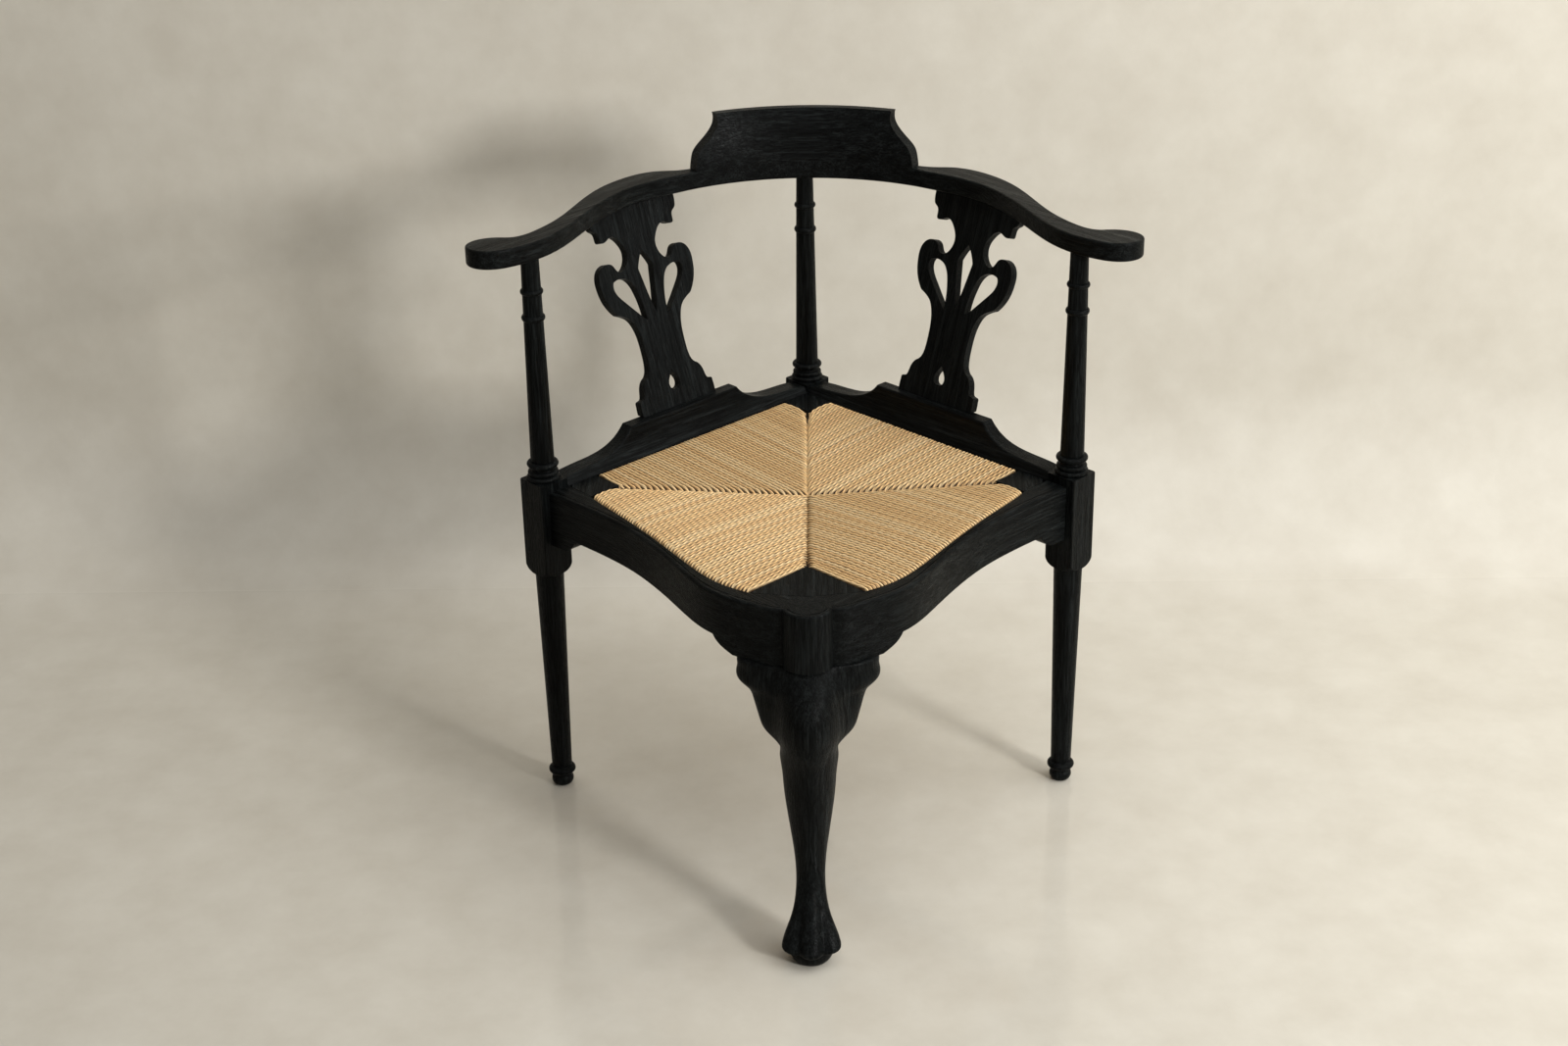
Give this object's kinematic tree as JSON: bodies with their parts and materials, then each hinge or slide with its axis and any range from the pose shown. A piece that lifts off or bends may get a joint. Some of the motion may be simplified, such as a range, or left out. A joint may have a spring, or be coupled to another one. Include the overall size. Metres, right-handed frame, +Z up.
{
  "type": "corner chair",
  "caption": "Corner armchair with a drop-in woven cord seat, pierced splats, turned posts, a curved arm bow with a raised crest and a carved cabriole front leg.",
  "frame": {"origin": "on the floor, under the middle of the whole chair's bounding box", "axes": "+Z up, -Y towards the carved front leg, +X to the right of someone who looks at the front of the chair"},
  "size_m": [0.7964, 0.7829, 0.81],
  "materials": {
    "black_wood": "satin, stained black",
    "inner_wood": "plain, unfinished",
    "woven_cord": "matte twisted paper cord",
    "screw_steel": "satin"
  },
  "bodies": {
    "frame": {"front_leg": "black_wood", "left_leg": "black_wood", "right_leg": "black_wood", "back_leg": "black_wood", "front_left_rail": "black_wood", "front_right_rail": "black_wood", "back_left_rail": "black_wood", "back_right_rail": "black_wood", "left_knee_bracket": "black_wood", "right_knee_bracket": "black_wood", "back_left_shoe": "black_wood", "back_right_shoe": "black_wood", "left_splat": "black_wood", "right_splat": "black_wood", "left_arm": "black_wood", "right_arm": "black_wood", "crest_rail": "black_wood", "crest_screws": "screw_steel", "left_glue_block": "inner_wood", "back_glue_block": "inner_wood", "right_glue_block": "inner_wood", "front_glue_block": "inner_wood", "glue_block_screws": "screw_steel", "back_left_bearer": "inner_wood", "back_right_bearer": "inner_wood", "bearer_screws": "screw_steel"},
    "slip_seat": {"slip_rail_front_left": "inner_wood", "slip_rail_front_right": "inner_wood", "slip_rail_back_left": "inner_wood", "slip_rail_back_right": "inner_wood", "slip_block_left": "black_wood", "slip_block_back": "black_wood", "slip_block_right": "black_wood", "slip_block_front": "black_wood", "woven_front_left": "woven_cord", "woven_front_right": "woven_cord", "woven_back_left": "woven_cord", "woven_back_right": "woven_cord"}
  },
  "joints": [
    {"name": "seat_lift", "type": "slide", "parent": "frame", "child": "slip_seat", "axis": [0, 0, 1], "range_m": [0, 0.12]}
  ]
}
